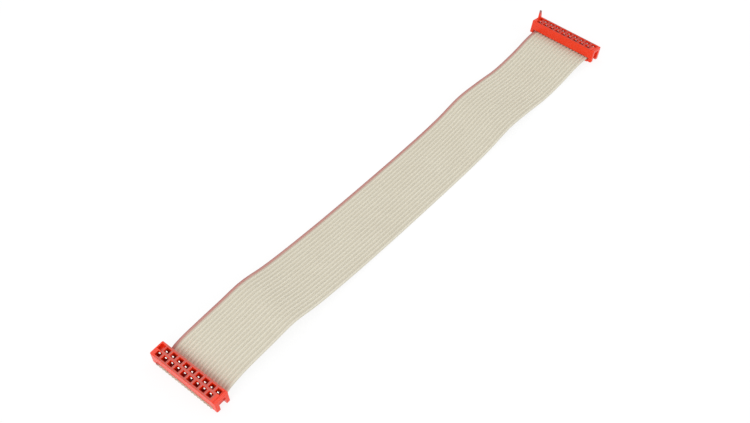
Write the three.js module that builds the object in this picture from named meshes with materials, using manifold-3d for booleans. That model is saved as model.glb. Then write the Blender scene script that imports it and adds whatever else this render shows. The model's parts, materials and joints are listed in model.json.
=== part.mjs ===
// Eighteen-way flat ribbon cable with a red insulation displacement connector pressed on each end.
// Millimetres, +Z up. The cable runs along X over the plane z = 0, with its marked edge towards +Y.
// Connector a is at -X and connector b at +X. Both have their mating face up, and both lean
// outward a little, because the ribbon leaves each of them in a low hump.

import * as THREE from "three";
import { mergeVertices } from "three/addons/utils/BufferGeometryUtils.js";
import Module from "manifold-3d";

const wasm = await Module();
wasm.setup();

// Whole cable
const WAYS = 18;
const PITCH = 1.27;
const OVERALL_LENGTH = 189.9;
const LEAN_A = THREE.MathUtils.degToRad(4);
const LEAN_B = THREE.MathUtils.degToRad(14);
const FIT_GAP = 0.06;

// Ribbon section: one round lobe for each conductor, with thin webs between
const LOBE_DIAMETER = 0.9;
const LOBE_CROWN = 0.46;
const WEB_THICKNESS = 0.3;
const RIBBON_OVERHANG = 0.25;
const RIBBON_STRAIGHT_EXIT = 0.4;
const FREE_WIDTH_SHARE = 0.982;
const NARROWING_RUN = 9;

// Connector housing, measured from the middle of the ribbon's thickness
const HOUSING_WIDTH = 5.1;
const HOUSING_HEIGHT = 3.34;
const EDGE_CHAMFER = 0.12;
const HOUSING_CORNER_RADIUS = 0.35;
const KEY_END_REACH = 2.2;
const WALL_END_REACH = 1.25;
const LATCH_THICKNESS = 0.95;
const SEAM_WIDTH = 0.15;
const SEAM_DEPTH = 0.2;

// Legs and arches at the two ends of a housing
const LEG_DROP = 1.3;
const LEG_THICKNESS = 1.35;
const ARCH_WIDTH = 2.5;
const ARCH_CORNER_RADIUS = 0.5;
const BRIDGE_HEIGHT = 0.95;

// Windows of the two staggered rows
const ROW_OFFSET = 0.75;
const WINDOW_INNER_EDGE = 0.42;
const WINDOW_LENGTH = 1.45;
const WINDOW_SPAN = 1.75;
const WINDOW_DEPTH = 2.5;
const WINDOW_FLARE = 0.12;
const POCKET_WIDTH = 1.87;
const POCKET_LENGTH = 1.75;
const POCKET_DEPTH = 1.3;
const POCKET_WALL = 0.4;

// Cover under the ribbon
const COVER_WIDTH = 4.9;
const COVER_THICKNESS = 0.9;
const COVER_CORNER_RADIUS = 0.3;

// Stamped contact: fork over the conductor, blade in the housing, tab in the window
const CONTACT_THICKNESS = 0.3;
const FORK_WIDTH = 0.9;
const FORK_SLOT = 0.24;
const FORK_DEPTH = 0.42;
const FORK_POINT = 0.17;
const TAB_WIDTH = 0.6;
const TAB_CHAMFER = 0.12;
const TAB_SET_BACK = 0.1;

// Coding key that stands in the empty pocket of connector b
const KEY_RISE = 3.35;
const KEY_THICKNESS = 0.55;
const KEY_TIP_WIDTH = 0.5;

// Height of the ribbon along the cable between the connectors: [distance past the exit, height]
const RIBBON_ROUTE = [
  [4, 3.1],
  [11, 3.95],
  [19, 4.45],
  [28, 5.05],
  [38, 3.2],
  [50, 2.0],
  [67, 1.05],
  [90, 0.55],
  [110, 0.55],
  [122, 1.27],
  [133, 2.87],
  [144, 2.03],
  [154, 0.75],
  [164, 1.2],
  [173, 2.49],
];

// Sizes that follow from the ones above
const CUT_REACH = LOBE_DIAMETER;
const HOUSING_UNDERSIDE = LOBE_DIAMETER / 2 + FIT_GAP;
const HOUSING_TOP = HOUSING_UNDERSIDE + HOUSING_HEIGHT;
const LEG_BOTTOM = HOUSING_UNDERSIDE - LEG_DROP;
const WINDOW_FLOOR = HOUSING_TOP - WINDOW_DEPTH;
const POCKET_FLOOR = HOUSING_TOP - POCKET_DEPTH;
const KEY_END = wayY(0) + KEY_END_REACH;
const WALL_END = wayY(WAYS - 1) - WALL_END_REACH;
const LATCH_END = WALL_END - LATCH_THICKNESS;
const COVER_TOP = -WEB_THICKNESS / 2 - FIT_GAP;
const COVER_UNDERSIDE = COVER_TOP - COVER_THICKNESS;
const BLOCK_MIDDLE = (KEY_END + LATCH_END) / 2;

const MATERIALS = {
  ribbon: new THREE.MeshStandardMaterial({ color: 0xd8cfbe, roughness: 0.55, metalness: 0 }),
  housing: new THREE.MeshStandardMaterial({ color: 0xe8321c, roughness: 0.45, metalness: 0 }),
  contact: new THREE.MeshStandardMaterial({ color: 0xd9d6d0, roughness: 0.3, metalness: 0.9 }),
};

// Y of the conductor of one way, counted from the marked edge
function wayY(way) {
  return ((WAYS - 1) / 2 - way) * PITCH;
}

// Odd and even ways stand in two rows, on either side of the housing's middle line
function rowSide(way) {
  return way % 2 === 0 ? -1 : 1;
}

// Closed three.js geometry as a solid that can be joined and cut
function toSolid(geometry) {
  const bare = new THREE.BufferGeometry();
  bare.setAttribute("position", geometry.getAttribute("position"));
  bare.setIndex(geometry.index);
  const merged = mergeVertices(bare, 1e-5);
  const mesh = new wasm.Mesh({
    numProp: 3,
    vertProperties: new Float32Array(merged.getAttribute("position").array),
    triVerts: new Uint32Array(merged.index.array),
  });
  return new wasm.Manifold(mesh);
}

// Shape drawn in Y and Z, drawn out along X on both sides of x = 0
function drawnAlongX(points, length) {
  const outline = new THREE.Shape(points.map(([y, z]) => new THREE.Vector2(y, z)));
  const bar = new THREE.ExtrudeGeometry(outline, { depth: length, bevelEnabled: false });
  bar.translate(0, 0, -length / 2);
  bar.rotateY(Math.PI / 2);
  bar.rotateX(Math.PI / 2);
  return bar;
}

function toGeometry(solid) {
  const mesh = solid.getMesh();
  const geometry = new THREE.BufferGeometry();
  geometry.setAttribute("position", new THREE.BufferAttribute(mesh.vertProperties, 3));
  geometry.setIndex(new THREE.BufferAttribute(mesh.triVerts, 1));
  geometry.computeVertexNormals();
  return geometry;
}

// Box between two corners
function boxBetween(low, high) {
  const size = high.map((value, axis) => value - low[axis]);
  const box = new THREE.BoxGeometry(...size);
  box.translate(...low.map((value, axis) => value + size[axis] / 2));
  return box;
}

function roundedRectangle(x0, x1, y0, y1, radius) {
  const shape = new THREE.Shape();
  shape.absarc(x1 - radius, y0 + radius, radius, -Math.PI / 2, 0);
  shape.absarc(x1 - radius, y1 - radius, radius, 0, Math.PI / 2);
  shape.absarc(x0 + radius, y1 - radius, radius, Math.PI / 2, Math.PI);
  shape.absarc(x0 + radius, y0 + radius, radius, Math.PI, 1.5 * Math.PI);
  return shape;
}

// Upright block with round corners in plan and chamfered rims
function mouldedBlock(low, high, radius, chamfer) {
  const outline = roundedRectangle(low[0], high[0], low[1], high[1], radius);
  const block = new THREE.ExtrudeGeometry(outline, {
    depth: high[2] - low[2] - 2 * chamfer,
    curveSegments: 2,
    bevelThickness: chamfer,
    bevelSize: chamfer,
    bevelOffset: -chamfer,
    bevelSegments: 1,
  });
  block.translate(0, 0, low[2] + chamfer);
  return toSolid(block);
}

// Opening under a bridge: straight sides, round upper corners, cut along Y
function archOpening(top, y0, y1) {
  const half = ARCH_WIDTH / 2;
  const radius = ARCH_CORNER_RADIUS;
  const shape = new THREE.Shape();
  shape.moveTo(-half, LEG_BOTTOM - CUT_REACH);
  shape.lineTo(half, LEG_BOTTOM - CUT_REACH);
  shape.absarc(half - radius, top - radius, radius, 0, Math.PI / 2);
  shape.absarc(-half + radius, top - radius, radius, Math.PI / 2, Math.PI);
  const cut = new THREE.ExtrudeGeometry(shape, {
    depth: y1 - y0,
    curveSegments: 3,
    bevelEnabled: false,
  });
  cut.rotateX(Math.PI / 2);
  cut.translate(0, y1, 0);
  return toSolid(cut);
}

// Straight-sided hole from a floor up through the mating face, with a flared rim
function windowCut(x0, x1, y0, y1, floor) {
  const well = boxBetween([x0, y0, floor], [x1, y1, HOUSING_TOP + CUT_REACH]);
  const rim = new THREE.Shape();
  rim.moveTo(x0, y0);
  rim.lineTo(x1, y0);
  rim.lineTo(x1, y1);
  rim.lineTo(x0, y1);
  const flare = new THREE.ExtrudeGeometry(rim, {
    depth: CUT_REACH,
    bevelThickness: WINDOW_FLARE,
    bevelSize: WINDOW_FLARE,
    bevelSegments: 1,
  });
  flare.translate(0, 0, HOUSING_TOP);
  return toSolid(well).add(toSolid(flare));
}

// Slot in a window's floor that holds the contact's blade
function bladeSlot(way) {
  const x = rowSide(way) * ROW_OFFSET;
  const y = wayY(way);
  const halfX = CONTACT_THICKNESS / 2 + FIT_GAP;
  const halfY = FORK_WIDTH / 2 + FIT_GAP;
  const low = [x - halfX, y - halfY, HOUSING_UNDERSIDE - CUT_REACH];
  return toSolid(boxBetween(low, [x + halfX, y + halfY, WINDOW_FLOOR + FIT_GAP]));
}

function contactWindow(way) {
  const side = rowSide(way);
  const edges = [side * WINDOW_INNER_EDGE, side * (WINDOW_INNER_EDGE + WINDOW_LENGTH)];
  const y0 = wayY(way) - WINDOW_SPAN / 2;
  const well = windowCut(Math.min(...edges), Math.max(...edges), y0, y0 + WINDOW_SPAN, WINDOW_FLOOR);
  return well.add(bladeSlot(way));
}

// Place of the empty pocket at the key end, where the back row has no contact
function pocketBox() {
  const x1 = WINDOW_INNER_EDGE + WINDOW_LENGTH;
  const y1 = KEY_END - POCKET_WALL;
  return { x0: x1 - POCKET_WIDTH, x1, y0: y1 - POCKET_LENGTH, y1 };
}

// Two legs at one end, joined over an arch
function endLegs(y0, y1, archTop) {
  const half = HOUSING_WIDTH / 2;
  const block = mouldedBlock([-half, y0, LEG_BOTTOM], [half, y1, HOUSING_TOP],
    HOUSING_CORNER_RADIUS, EDGE_CHAMFER);
  return block.subtract(archOpening(archTop, y0 - CUT_REACH, y1 + CUT_REACH));
}

// One-piece moulded housing: block over the ribbon, legs, latch bridge, windows and pocket
function buildHousing() {
  const half = HOUSING_WIDTH / 2;
  const bridgeArchTop = HOUSING_TOP - BRIDGE_HEIGHT;
  let housing = mouldedBlock([-half, WALL_END, HOUSING_UNDERSIDE], [half, KEY_END, HOUSING_TOP],
    HOUSING_CORNER_RADIUS, EDGE_CHAMFER);
  housing = housing.add(endLegs(KEY_END - LEG_THICKNESS, KEY_END, HOUSING_UNDERSIDE));
  housing = housing.add(endLegs(LATCH_END, LATCH_END + LEG_THICKNESS, bridgeArchTop));
  const seam = boxBetween([-half - CUT_REACH, WALL_END - SEAM_WIDTH / 2, HOUSING_TOP - SEAM_DEPTH],
    [half + CUT_REACH, WALL_END + SEAM_WIDTH / 2, HOUSING_TOP + CUT_REACH]);
  housing = housing.subtract(toSolid(seam));
  const pocket = pocketBox();
  housing = housing.subtract(windowCut(pocket.x0, pocket.x1, pocket.y0, pocket.y1, POCKET_FLOOR));
  for (let way = 0; way < WAYS; way += 1) {
    housing = housing.subtract(contactWindow(way));
  }
  return toGeometry(housing);
}

// Cover that presses the ribbon onto the contacts, grooved to the ribbon's own outline
function buildCover() {
  const half = COVER_WIDTH / 2;
  const y0 = LATCH_END + LEG_THICKNESS + FIT_GAP;
  const y1 = KEY_END - LEG_THICKNESS - FIT_GAP;
  const cover = mouldedBlock([-half, y0, COVER_UNDERSIDE], [half, y1, COVER_TOP],
    COVER_CORNER_RADIUS, EDGE_CHAMFER);
  const grooves = drawnAlongX(ribbonOutline(FIT_GAP), COVER_WIDTH + 2 * CUT_REACH);
  return toGeometry(cover.subtract(toSolid(grooves)));
}

// Flat blade cut from strip: pointed fork below, tab with chamfered corners above
function buildContact() {
  const fork = FORK_WIDTH / 2;
  const slot = FORK_SLOT / 2;
  const tab = TAB_WIDTH / 2;
  const tabTop = HOUSING_TOP - TAB_SET_BACK;
  const right = [
    [slot, HOUSING_UNDERSIDE],
    [slot, -FORK_DEPTH + FORK_POINT],
    [(slot + fork) / 2, -FORK_DEPTH],
    [fork, -FORK_DEPTH + FORK_POINT],
    [fork, WINDOW_FLOOR - (fork - tab)],
    [tab, WINDOW_FLOOR],
    [tab, tabTop - TAB_CHAMFER],
    [tab - TAB_CHAMFER, tabTop],
  ];
  const left = right.map(([y, z]) => [-y, z]).reverse();
  return drawnAlongX([...right, ...left], CONTACT_THICKNESS);
}

// Thin key against the outer wall of the pocket: upright on the cable's side, slanting on the other
function buildKey() {
  const pocket = pocketBox();
  const x0 = pocket.x0 + FIT_GAP;
  const x1 = pocket.x1 - FIT_GAP;
  const tip = HOUSING_TOP + KEY_RISE;
  const outline = [
    [x0, POCKET_FLOOR + FIT_GAP],
    [x1, POCKET_FLOOR + FIT_GAP],
    [x1, HOUSING_TOP],
    [x0 + KEY_TIP_WIDTH, tip],
    [x0, tip],
  ].map(([x, z]) => new THREE.Vector2(x, z));
  const key = new THREE.ExtrudeGeometry(new THREE.Shape(outline), {
    depth: KEY_THICKNESS,
    bevelEnabled: false,
  });
  key.rotateX(Math.PI / 2);
  key.translate(0, pocket.y1 - FIT_GAP, 0);
  return key;
}

// Outline of the ribbon's section, grown by a gap: crown, crown, web for each lobe, above and below
function ribbonOutline(gap) {
  const crown = (LOBE_CROWN + gap) / 2;
  const height = LOBE_DIAMETER / 2 + gap;
  const web = WEB_THICKNESS / 2 + gap;
  const above = [];
  for (let way = WAYS - 1; way >= 0; way -= 1) {
    above.push([wayY(way) - crown, height], [wayY(way) + crown, height]);
    if (way > 0) {
      above.push([wayY(way) + PITCH / 2, web]);
    }
  }
  const below = above.map(([y, z]) => [y, -z]).reverse();
  const edge = wayY(0) + LOBE_DIAMETER / 2 + gap;
  return [[-edge, 0], ...above, [edge, 0], ...below];
}

// Curve whose parameter runs evenly from station to station, so that a section falls on each
class StationCurve extends THREE.CatmullRomCurve3 {
  getUtoTmapping(u) {
    return u;
  }
}

// Point of a connector's own frame, on the ribbon's middle plane, in the cable's frame
function onRibbonPlane(connector, x) {
  return new THREE.Vector3(x, 0, 0).applyMatrix4(connector.matrix);
}

function ribbonStations(connectorA, connectorB) {
  const outer = HOUSING_WIDTH / 2 + RIBBON_OVERHANG;
  const exit = HOUSING_WIDTH / 2 + RIBBON_STRAIGHT_EXIT;
  const exitA = onRibbonPlane(connectorA, exit);
  const between = RIBBON_ROUTE.map(([run, height]) => {
    return new THREE.Vector3(exitA.x + run, 0, height);
  });
  return [onRibbonPlane(connectorA, -outer), exitA, ...between,
    onRibbonPlane(connectorB, -exit), onRibbonPlane(connectorB, outer)];
}

// Draws the free ribbon in to its own pitch, a little below the pitch that the contacts hold it at
function narrowFreeRibbon(geometry, x0, x1) {
  const position = geometry.getAttribute("position");
  for (let index = 0; index < position.count; index += 1) {
    const run = Math.min(position.getX(index) - x0, x1 - position.getX(index));
    const share = 1 - (1 - FREE_WIDTH_SHARE) * THREE.MathUtils.clamp(run / NARROWING_RUN, 0, 1);
    position.setY(index, position.getY(index) * share);
  }
  return geometry;
}

// Extruded insulation with a slot where each contact's fork goes through its lobe
function buildRibbon(connectorA, connectorB) {
  const stations = ribbonStations(connectorA, connectorB);
  const path = new StationCurve(stations, false, "centripetal");
  const section = new THREE.Shape(ribbonOutline(0).map(([y, z]) => new THREE.Vector2(y, z)));
  const strip = new THREE.ExtrudeGeometry(section, {
    steps: stations.length - 1,
    extrudePath: path,
  });
  let ribbon = toSolid(narrowFreeRibbon(strip, stations.at(1).x, stations.at(-2).x));
  for (const connector of [connectorA, connectorB]) {
    for (let way = 0; way < WAYS; way += 1) {
      ribbon = ribbon.subtract(forkSlot(connector, way));
    }
  }
  return toGeometry(ribbon);
}

function forkSlot(connector, way) {
  const x = rowSide(way) * ROW_OFFSET;
  const y = wayY(way);
  const halfX = CONTACT_THICKNESS / 2 + FIT_GAP;
  const halfY = FORK_WIDTH / 2 + FIT_GAP;
  const slot = boxBetween([x - halfX, y - halfY, -LOBE_DIAMETER], [x + halfX, y + halfY, LOBE_DIAMETER]);
  slot.applyMatrix4(connector.matrix);
  return toSolid(slot);
}

function namedMesh(name, geometry, material) {
  const mesh = new THREE.Mesh(geometry, material);
  mesh.name = name;
  return mesh;
}

// One connector in its own frame: X along the ribbon, Z out of the mating face
function buildConnector(letter) {
  const connector = new THREE.Group();
  connector.add(namedMesh(`housing_${letter}`, buildHousing(), MATERIALS.housing));
  connector.add(namedMesh(`cover_${letter}`, buildCover(), MATERIALS.housing));
  for (let way = 0; way < WAYS; way += 1) {
    const number = String(way + 1).padStart(2, "0");
    const contact = namedMesh(`contact_${letter}_${number}`, buildContact(), MATERIALS.contact);
    contact.position.set(rowSide(way) * ROW_OFFSET, wayY(way), 0);
    connector.add(contact);
  }
  return connector;
}

// Leans a connector outward and stands it on the lower edge of its cover
function seatConnector(connector, direction, lean) {
  const reach = (HOUSING_WIDTH / 2) * Math.cos(lean) + HOUSING_TOP * Math.sin(lean);
  const foot = COVER_WIDTH / 2 - EDGE_CHAMFER;
  const standing = foot * Math.sin(lean) - COVER_UNDERSIDE * Math.cos(lean);
  connector.rotation.y = direction * lean;
  connector.position.set(direction * (OVERALL_LENGTH / 2 - reach), 0, standing);
  connector.updateMatrix();
}

const connectorA = buildConnector("a");
const connectorB = buildConnector("b");
connectorB.add(namedMesh("coding_key_b", buildKey(), MATERIALS.housing));
seatConnector(connectorA, -1, LEAN_A);
seatConnector(connectorB, 1, LEAN_B);

const cable = new THREE.Group();
cable.add(connectorA);
cable.add(connectorB);
cable.add(namedMesh("ribbon", buildRibbon(connectorA, connectorB), MATERIALS.ribbon));
cable.position.y = -BLOCK_MIDDLE;

export default cable;
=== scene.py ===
import bpy
import json
import math
from mathutils import Matrix, Vector

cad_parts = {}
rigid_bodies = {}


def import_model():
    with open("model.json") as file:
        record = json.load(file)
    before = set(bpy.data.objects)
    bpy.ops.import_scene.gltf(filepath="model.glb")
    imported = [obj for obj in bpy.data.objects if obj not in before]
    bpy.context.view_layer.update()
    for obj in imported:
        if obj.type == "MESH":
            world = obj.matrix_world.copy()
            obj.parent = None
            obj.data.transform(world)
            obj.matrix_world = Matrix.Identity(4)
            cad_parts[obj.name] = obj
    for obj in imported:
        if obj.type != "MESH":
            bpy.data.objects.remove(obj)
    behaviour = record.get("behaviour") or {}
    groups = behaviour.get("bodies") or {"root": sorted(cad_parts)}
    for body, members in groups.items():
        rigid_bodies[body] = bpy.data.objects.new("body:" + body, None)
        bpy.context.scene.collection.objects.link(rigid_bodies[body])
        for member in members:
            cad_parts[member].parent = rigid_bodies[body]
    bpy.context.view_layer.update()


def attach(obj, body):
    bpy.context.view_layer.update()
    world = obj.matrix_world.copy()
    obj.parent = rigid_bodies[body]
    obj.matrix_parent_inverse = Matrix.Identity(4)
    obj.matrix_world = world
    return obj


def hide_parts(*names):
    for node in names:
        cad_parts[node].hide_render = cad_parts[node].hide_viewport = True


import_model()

# The studio: a white sweep of paper under an even white surround, with broad soft lamps at both
# ends and weaker ones at the sides. The camera looks down the cable from connector a.
MM = 0.001
FRAME_PIXELS = 750
FOCAL_PIXELS = 1147.56
scene = bpy.context.scene
scene.view_settings.view_transform = "Standard"

camera_data = bpy.data.cameras.new("camera")
camera_data.sensor_width = 36.0
camera_data.lens = FOCAL_PIXELS / FRAME_PIXELS * camera_data.sensor_width
camera_data.clip_start = 0.01
camera_data.clip_end = 20.0
camera = bpy.data.objects.new("camera", camera_data)
scene.collection.objects.link(camera)
eye = Vector((-189.93, -150.2, 274.7)) * MM
look = Vector((0.4947, 0.4194, -0.7612)).normalized()
side = look.cross(Vector((0, 0, 1))).normalized()
rise = side.cross(look)
camera.matrix_world = Matrix((
    (side.x, rise.x, -look.x, eye.x),
    (side.y, rise.y, -look.y, eye.y),
    (side.z, rise.z, -look.z, eye.z),
    (0, 0, 0, 1),
))
scene.camera = camera

# each lamp's name, place in metres, power in watts and width in metres
for name, place, energy, size in [
    ("key_lamp", (-1.0, -0.25, 0.7), 6.9, 0.8),
    ("fill_lamp", (0.45, -1.1, 0.6), 2.8, 0.5),
    ("sheen_lamp", (0.26, 0.65, 1.2), 1.4, 0.4),
    ("back_lamp", (1.25, -0.2, 0.6), 3.5, 0.8),
]:
    lamp_data = bpy.data.lights.new(name, "AREA")
    lamp_data.energy = energy
    lamp_data.size = size
    lamp = bpy.data.objects.new(name, lamp_data)
    lamp.location = place
    lamp.rotation_euler = Vector(place).to_track_quat("Z", "Y").to_euler()
    scene.collection.objects.link(lamp)

world = bpy.data.worlds.new("surround")
world.use_nodes = True
scene.world = world


class Signal:
    """A socket in a node tree. A sum written with it adds the Math nodes that it needs."""

    def __init__(self, tree, socket):
        self.tree = tree
        self.socket = socket

    def math(self, operation, *values):
        return add_node(self.tree, "ShaderNodeMath", dict(enumerate(values)), operation=operation)

    def __add__(self, other):
        return self.math("ADD", self, other)

    def __radd__(self, other):
        return self.math("ADD", other, self)

    def __sub__(self, other):
        return self.math("SUBTRACT", self, other)

    def __rsub__(self, other):
        return self.math("SUBTRACT", other, self)

    def __mul__(self, other):
        return self.math("MULTIPLY", self, other)

    def __rmul__(self, other):
        return self.math("MULTIPLY", other, self)

    def __truediv__(self, other):
        return self.math("DIVIDE", self, other)

    def __lt__(self, other):
        return self.math("LESS_THAN", self, other)


def add_node(tree, kind, sockets=None, out=0, **settings):
    node = tree.nodes.new(kind)
    for name, value in settings.items():
        setattr(node, name, value)
    for key, value in (sockets or {}).items():
        if isinstance(value, Signal):
            tree.links.new(value.socket, node.inputs[key])
        else:
            node.inputs[key].default_value = value
    return Signal(tree, node.outputs[out]) if node.outputs else None


# the surround looks white to the camera, and lights the cable with less than that
AMBIENT = 0.62
world_tree = world.node_tree
world_tree.nodes.clear()
seen = add_node(world_tree, "ShaderNodeLightPath", out="Is Camera Ray")
mirrored = add_node(world_tree, "ShaderNodeLightPath", out="Is Glossy Ray")
white = add_node(world_tree, "ShaderNodeBackground", {
    "Color": (1, 1, 1, 1), "Strength": AMBIENT + seen * (1 - AMBIENT) + mirrored * 0.1})
add_node(world_tree, "ShaderNodeOutputWorld", {"Surface": white})

paper = bpy.data.materials.new("white_paper")
paper.use_nodes = True
paper_tree = paper.node_tree
paper_tree.nodes.clear()
matt = add_node(paper_tree, "ShaderNodeBsdfDiffuse", {"Color": (0.88, 0.88, 0.88, 1)})
glow = add_node(paper_tree, "ShaderNodeEmission", {"Color": (1, 1, 1, 1), "Strength": 1.03})
seen = add_node(paper_tree, "ShaderNodeLightPath", out="Is Camera Ray")
mirrored = add_node(paper_tree, "ShaderNodeLightPath", out="Is Glossy Ray")
share = seen.math("MAXIMUM", seen, mirrored) * 0.85
mixed = add_node(paper_tree, "ShaderNodeMixShader", {"Fac": share, 1: matt, 2: glow})
add_node(paper_tree, "ShaderNodeOutputMaterial", {"Surface": mixed})

REACH = 4.0
floor_mesh = bpy.data.meshes.new("floor")
floor_mesh.from_pydata(
    [(-REACH, -REACH, 0), (REACH, -REACH, 0), (REACH, REACH, 0), (-REACH, REACH, 0)],
    [], [(0, 1, 2, 3)])
floor_mesh.materials.append(paper)
floor = bpy.data.objects.new("floor", floor_mesh)
scene.collection.objects.link(floor)

# The ribbon: eighteen stranded wires side by side in one skin of beige vinyl, with a thin web
# between neighbours and red ink along the first wire. It is extruded in one go and cut square.
WAYS = 18
PITCH = 1.27 * MM
LOBE_RADIUS = 0.45 * MM
WEB = 0.3 * MM
LEAN_A = math.radians(4)
LEAN_B = math.radians(14)
ORIGIN_A = Vector((-92.13765, 0, 1.26983)) * MM
ORIGIN_B = Vector((91.54435, 0, 1.64071)) * MM
FRAME_A = Matrix.Translation(ORIGIN_A) @ Matrix.Rotation(-LEAN_A, 4, "Y")
FRAME_B = Matrix.Translation(ORIGIN_B) @ Matrix.Rotation(LEAN_B, 4, "Y")
CUT_END = 2.8 * MM
EXIT = 2.95 * MM
# between the connectors the ribbon is a little narrower than it is at the contacts
FREE_WIDTH_SHARE = 0.982
NARROWING_RUN = 9 * MM
ROUTE = [
    (4, 3.1), (11, 3.95), (19, 4.45), (28, 5.05), (38, 3.2), (50, 2.0), (67, 1.05), (90, 0.55),
    (110, 0.55), (122, 1.27), (133, 2.87), (144, 2.03), (154, 0.75), (164, 1.2), (173, 2.49),
]

exit_a = FRAME_A @ Vector((EXIT, 0, 0))
exit_b = FRAME_B @ Vector((-EXIT, 0, 0))
stations = [FRAME_A @ Vector((-CUT_END, 0, 0)), exit_a]
stations += [Vector((exit_a.x + run * MM, 0, height * MM)) for run, height in ROUTE]
stations += [exit_b, FRAME_B @ Vector((CUT_END, 0, 0))]

# the way the ribbon points at each station: along the connector inside it, else chord to chord
headings = [(after - before).normalized() for before, after in zip(stations, stations[2:])]
headings[0] = (stations[1] - stations[0]).normalized()
headings[-1] = (stations[-1] - stations[-2]).normalized()
headings = [headings[0]] + headings + [headings[-1]]
# the ribbon turns up at once where it leaves connector a
EXIT_RISE_A = math.radians(46)
bend_up = Vector((math.cos(EXIT_RISE_A), 0, math.sin(EXIT_RISE_A)))

route_curve = bpy.data.curves.new("ribbon_route", "CURVE")
route_curve.dimensions = "3D"
route_curve.twist_mode = "Z_UP"
route_curve.resolution_u = 16
spline = route_curve.splines.new("BEZIER")
spline.bezier_points.add(len(stations) - 1)
for i, point in enumerate(spline.bezier_points):
    before = (stations[i] - stations[max(i - 1, 0)]).length / 3
    after = (stations[min(i + 1, len(stations) - 1)] - stations[i]).length / 3
    point.handle_left_type = point.handle_right_type = "FREE"
    point.co = stations[i]
    point.handle_left = stations[i] - (headings[0] if i == 1 else headings[i]) * before
    point.handle_right = stations[i] + (bend_up if i == 1 else headings[i]) * after


def new_tree(name, sizes):
    tree = bpy.data.node_groups.new(name, "GeometryNodeTree")
    tree.interface.new_socket("Geometry", in_out="INPUT", socket_type="NodeSocketGeometry")
    for label, value in sizes.items():
        kind = "NodeSocketInt" if isinstance(value, int) else "NodeSocketFloat"
        if isinstance(value, bpy.types.Material):
            kind = "NodeSocketMaterial"
        tree.interface.new_socket(label, in_out="INPUT", socket_type=kind)
    tree.interface.new_socket("Geometry", in_out="OUTPUT", socket_type="NodeSocketGeometry")
    source = tree.nodes.new("NodeGroupInput")
    return tree, {socket.name: Signal(tree, socket) for socket in source.outputs if socket.name}


def close_tree(tree, shape, material):
    realised = add_node(tree, "GeometryNodeRealizeInstances", {"Geometry": shape})
    finished = add_node(tree, "GeometryNodeSetMaterial", {
        "Geometry": realised, "Material": material})
    add_node(tree, "NodeGroupOutput", {0: finished})


def baked(name, tree, sizes, data):
    holder = bpy.data.objects.new(name + "_holder", data)
    scene.collection.objects.link(holder)
    modifier = holder.modifiers.new("build", "NODES")
    modifier.node_group = tree
    for item in tree.interface.items_tree:
        if item.in_out == "INPUT" and item.name in sizes:
            modifier[item.identifier] = sizes[item.name]
    bpy.context.view_layer.update()
    result = holder.evaluated_get(bpy.context.evaluated_depsgraph_get())
    mesh = bpy.data.meshes.new_from_object(result)
    mesh.name = name
    bpy.data.objects.remove(holder)
    piece = bpy.data.objects.new(name, mesh)
    scene.collection.objects.link(piece)
    return piece


def new_material(name, base, roughness, metallic=0.0):
    material = bpy.data.materials.new(name)
    material.use_nodes = True
    shader = material.node_tree.nodes["Principled BSDF"]
    shader.inputs["Base Color"].default_value = (*base, 1)
    shader.inputs["Roughness"].default_value = roughness
    shader.inputs["Metallic"].default_value = metallic
    return material, material.node_tree, shader


def between(tree, share, one, other):
    """The colour that lies a share of the way from one colour to another."""
    return add_node(tree, "ShaderNodeMix", {"Factor": share, 6: one, 7: other},
                    out=2, data_type="RGBA")


def fade(tree, value, start, end):
    """A soft step from 0 at the start to 1 at the end."""
    return add_node(tree, "ShaderNodeMapRange", {
        "Value": value, "From Min": start, "From Max": end}, interpolation_type="SMOOTHSTEP")


vinyl, vinyl_tree, vinyl_shader = new_material("beige_vinyl", (0.66, 0.6, 0.5), 0.5)
place = add_node(vinyl_tree, "ShaderNodeTexCoord", out="Object")
across = add_node(vinyl_tree, "ShaderNodeAttribute", out="Fac", attribute_name="across")
phase = (across / PITCH).math("FRACT", across / PITCH + WAYS)
from_crown = (phase - 0.5).math("ABSOLUTE", phase - 0.5)
in_web = fade(vinyl_tree, from_crown, 0.12, 0.38)
cloudy = add_node(vinyl_tree, "ShaderNodeTexNoise", {
    "Vector": place, "Scale": 90.0, "Detail": 3.0})
stretched = add_node(vinyl_tree, "ShaderNodeMapping", {"Vector": place, "Scale": (40, 1500, 1500)})
drawn = add_node(vinyl_tree, "ShaderNodeTexNoise", {
    "Vector": stretched, "Scale": 1.0, "Detail": 2.0})
tone = between(vinyl_tree, cloudy * 0.6 + drawn * 0.4,
               (0.625, 0.577, 0.463, 1), (0.722, 0.688, 0.575, 1))
# painted shade: the webs between the wires, and the lower sides of each wire, are painted darker
web_painted_shade = between(vinyl_tree, in_web * 0.3, tone, (0.50, 0.45, 0.34, 1))
# red ink on the first wire, deepest at its outer edge
inked = fade(vinyl_tree, across, 9.95 * MM, 10.65 * MM)
soaked = fade(vinyl_tree, across, 10.7 * MM, 11.1 * MM)
ink = between(vinyl_tree, soaked, (0.47, 0.16, 0.145, 1), (0.34, 0.06, 0.055, 1))
ribbon_colour = between(vinyl_tree, inked * (0.75 + drawn * 0.25), web_painted_shade, ink)
vinyl_tree.links.new(ribbon_colour.socket, vinyl_shader.inputs["Base Color"])
sheen = 0.42 + cloudy * 0.16
vinyl_tree.links.new(sheen.socket, vinyl_shader.inputs["Roughness"])
vinyl_bump = add_node(vinyl_tree, "ShaderNodeBump", {
    "Strength": 0.15, "Distance": 0.00005, "Height": drawn})
vinyl_tree.links.new(vinyl_bump.socket, vinyl_shader.inputs["Normal"])

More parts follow.
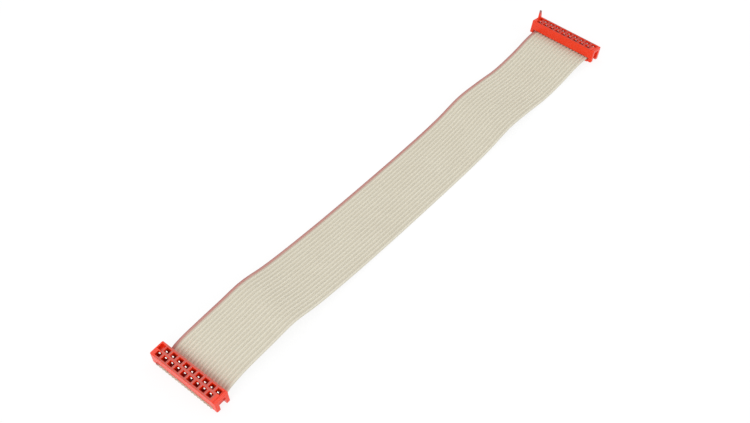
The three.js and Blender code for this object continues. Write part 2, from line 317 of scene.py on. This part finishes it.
ribbon_sizes = {
    "Ways": WAYS,
    "Pitch": PITCH,
    "Lobe radius": LOBE_RADIUS,
    "Web": WEB,
    "Samples": 10,
    "Stations": 150,
    "Exit a": exit_a.x,
    "Exit b": exit_b.x,
    "Narrowing run": NARROWING_RUN,
    "Free width share": FREE_WIDTH_SHARE,
    "Skin": vinyl,
}
tree, size = new_tree("ribbon_extrusion", ribbon_sizes)
corners = size["Ways"] * size["Samples"] * 2
ring = add_node(tree, "GeometryNodeCurvePrimitiveCircle", {"Resolution": corners, "Radius": 1.0})
index = add_node(tree, "GeometryNodeInputIndex")
above = index < corners / 2
step = above * index + (1 - above) * (corners - 1 - index)
way = (step / size["Samples"]).math("FLOOR", step / size["Samples"])
part_of_lobe = (step - way * size["Samples"]) / (size["Samples"] - 1)
web_angle = size["Web"].math("ARCSINE", size["Web"] / 2 / size["Lobe radius"])
angle = web_angle + part_of_lobe * (math.pi - 2 * web_angle)
crown = (way - (size["Ways"] - 1) / 2) * size["Pitch"]
over = crown - size["Lobe radius"] * angle.math("COSINE", angle)
up = (above * 2 - 1) * size["Lobe radius"] * angle.math("SINE", angle)
outline = add_node(tree, "ShaderNodeCombineXYZ", {0: over, 1: up})
section = add_node(tree, "GeometryNodeSetPosition", {"Geometry": ring, "Position": outline})
section = add_node(tree, "GeometryNodeStoreNamedAttribute", {
    "Geometry": section, "Name": "across", "Value": 0 - over}, data_type="FLOAT", domain="POINT")
line = add_node(tree, "GeometryNodeResampleCurve", {
    "Curve": size["Geometry"], "Count": size["Stations"]})
extruded = add_node(tree, "GeometryNodeCurveToMesh", {
    "Curve": line, "Profile Curve": section, "Fill Caps": True})
point = add_node(tree, "GeometryNodeInputPosition")
along = add_node(tree, "ShaderNodeSeparateXYZ", {0: point})
run = along.math("MINIMUM", along - size["Exit a"], size["Exit b"] - along)
free = add_node(tree, "ShaderNodeMapRange", {"Value": run, "From Max": size["Narrowing run"]})
width_share = add_node(tree, "ShaderNodeCombineXYZ", {
    0: 1.0, 1: 1 - free * (1 - size["Free width share"]), 2: 1.0})
narrower = add_node(tree, "ShaderNodeVectorMath", {0: point, 1: width_share}, operation="MULTIPLY")
narrowed = add_node(tree, "GeometryNodeSetPosition", {"Geometry": extruded, "Position": narrower})
smooth = add_node(tree, "GeometryNodeSetShadeSmooth", {"Geometry": narrowed})
close_tree(tree, smooth, size["Skin"])
ribbon = baked("ribbon_skin", tree, ribbon_sizes, route_curve)
ribbon.data.set_sharp_from_angle(angle=math.radians(50))
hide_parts("ribbon")
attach(ribbon, "root")

# The conductors: seven fine copper strands in each wire, seen only where the ribbon is cut. They
# stand a hair proud of the vinyl, as a shear leaves them.
copper, copper_tree, copper_shader = new_material("cut_copper", (0.72, 0.36, 0.2), 0.35, 1.0)
copper_place = add_node(copper_tree, "ShaderNodeTexCoord", out="Object")
copper_spots = add_node(copper_tree, "ShaderNodeTexNoise", {
    "Vector": copper_place, "Scale": 4000.0})
copper_tone = between(copper_tree, copper_spots, (0.52, 0.24, 0.13, 1), (0.86, 0.48, 0.29, 1))
copper_tree.links.new(copper_tone.socket, copper_shader.inputs["Base Color"])

strand_sizes = {
    "Ways": WAYS,
    "Pitch": PITCH,
    "Strands around": 6,
    "Strand radius": 0.063 * MM,
    "Length": 0.08 * MM,
    "Metal": copper,
}
tree, size = new_tree("strand_ends", strand_sizes)
first = size["Pitch"] * (1 - size["Ways"]) / 2
wires = add_node(tree, "GeometryNodeMeshLine", {
    "Count": size["Ways"],
    "Start Location": add_node(tree, "ShaderNodeCombineXYZ", {1: first}),
    "Offset": add_node(tree, "ShaderNodeCombineXYZ", {1: size["Pitch"]})})
lay = add_node(tree, "GeometryNodeMeshCircle", {
    "Vertices": size["Strands around"], "Radius": size["Strand radius"] * 2.1})
core = add_node(tree, "GeometryNodeMeshLine", {"Count": 1})
bundle = add_node(tree, "GeometryNodeJoinGeometry")
for points in (lay, core):
    tree.links.new(points.socket, bundle.socket.node.inputs[0])
strand = add_node(tree, "GeometryNodeMeshCylinder", {
    "Vertices": 8, "Radius": size["Strand radius"], "Depth": size["Length"]})
seven = add_node(tree, "GeometryNodeInstanceOnPoints", {"Points": bundle, "Instance": strand})
rows = add_node(tree, "GeometryNodeInstanceOnPoints", {
    "Points": wires, "Instance": seven,
    "Rotation": add_node(tree, "ShaderNodeCombineXYZ", {1: math.pi / 2})})
close_tree(tree, rows, size["Metal"])
CUT_CLEARANCE = 0.01 * MM
for letter, frame_of, outward in [("a", FRAME_A, -1), ("b", FRAME_B, 1)]:
    strands = baked(f"strand_ends_{letter}", tree, strand_sizes, bpy.data.meshes.new("empty"))
    reach = CUT_END + strand_sizes["Length"] / 2 + CUT_CLEARANCE
    strands.data.transform(frame_of @ Matrix.Translation((outward * reach, 0, 0)))
    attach(strands, "root")

# The housings: one moulding each of glossy red polyester, with its windows, pocket and legs. The
# cover is pressed up under the ribbon until it snaps between the legs, and the flat coding key
# stands in connector b's pocket. Both are of the same plastic.
polyester, red_tree, red_shader = new_material("red_polyester", (0.84, 0.03, 0.009), 0.4)
red_shader.inputs["Specular IOR Level"].default_value = 0.36
red_place = add_node(red_tree, "ShaderNodeTexCoord", out="Object")
mottle = add_node(red_tree, "ShaderNodeTexNoise", {
    "Vector": red_place, "Scale": 350.0, "Detail": 2.0})
grain = add_node(red_tree, "ShaderNodeTexNoise", {
    "Vector": red_place, "Scale": 6000.0, "Detail": 2.0})
red_tone = between(red_tree, mottle, (0.80, 0.032, 0.006, 1), (0.90, 0.052, 0.012, 1))
face_up = add_node(red_tree, "ShaderNodeSeparateXYZ", {
    0: add_node(red_tree, "ShaderNodeNewGeometry", out="Normal")}, out=2)
upward = fade(red_tree, face_up, 0.9, 0.96)
red_along = add_node(red_tree, "ShaderNodeSeparateXYZ", {0: red_place})
red_across = add_node(red_tree, "ShaderNodeSeparateXYZ", {0: red_place}, out=1)
# painted shade and sheen: the top faces between the windows are painted darker, as shade, and
# paler on connector a than on connector b, as a painted sheen
beyond_windows = fade(red_tree, red_across.math("ABSOLUTE", red_across), 10.7 * MM, 11.3 * MM)
painted_shade_and_sheen_between_windows = between(red_tree, red_along < 0, (0.44, 0.026, 0.013, 1), (0.54, 0.085, 0.06, 1))
red_tone = between(red_tree, upward * (1 - beyond_windows), red_tone, painted_shade_and_sheen_between_windows)
# painted shade: the tip of the key is painted darker and greyer
key_height = add_node(red_tree, "ShaderNodeSeparateXYZ", {0: red_place}, out=2)
tip_painted_shade = fade(red_tree, key_height, 7.2 * MM, 8.4 * MM)
red_tone = between(red_tree, tip_painted_shade, red_tone, (0.36, 0.13, 0.12, 1))
red_tree.links.new(red_tone.socket, red_shader.inputs["Base Color"])
red_gloss = 0.22 + mottle * 0.12
red_tree.links.new(red_gloss.socket, red_shader.inputs["Roughness"])
red_bump = add_node(red_tree, "ShaderNodeBump", {
    "Strength": 0.12, "Distance": 0.00003, "Height": grain})
red_tree.links.new(red_bump.socket, red_shader.inputs["Normal"])

for node in ["housing_a", "housing_b", "cover_a", "cover_b", "coding_key_b"]:
    moulding = bpy.data.objects[node]
    moulding.data.materials.clear()
    moulding.data.materials.append(polyester)

# The contacts: eighteen blades a side, stamped from tinned spring bronze. A fork below cuts into
# the wire and the tab above stands in its window.
tin, tin_tree, tin_shader = new_material("tinned_bronze", (0.8, 0.78, 0.74), 0.28, 1.0)
tin_place = add_node(tin_tree, "ShaderNodeTexCoord", out="Object")
tin_stretch = add_node(tin_tree, "ShaderNodeMapping", {
    "Vector": tin_place, "Scale": (9000, 9000, 900)})
rolled = add_node(tin_tree, "ShaderNodeTexNoise", {
    "Vector": tin_stretch, "Scale": 1.0, "Detail": 2.0})
tin_gloss = 0.2 + rolled * 0.2
tin_tree.links.new(tin_gloss.socket, tin_shader.inputs["Roughness"])
tin_tone = between(tin_tree, rolled, (0.58, 0.56, 0.53, 1), (0.76, 0.74, 0.71, 1))
tin_tree.links.new(tin_tone.socket, tin_shader.inputs["Base Color"])

for letter in "ab":
    for number in range(1, WAYS + 1):
        blade = bpy.data.objects[f"contact_{letter}_{number:02d}"]
        blade.data.materials.clear()
        blade.data.materials.append(tin)
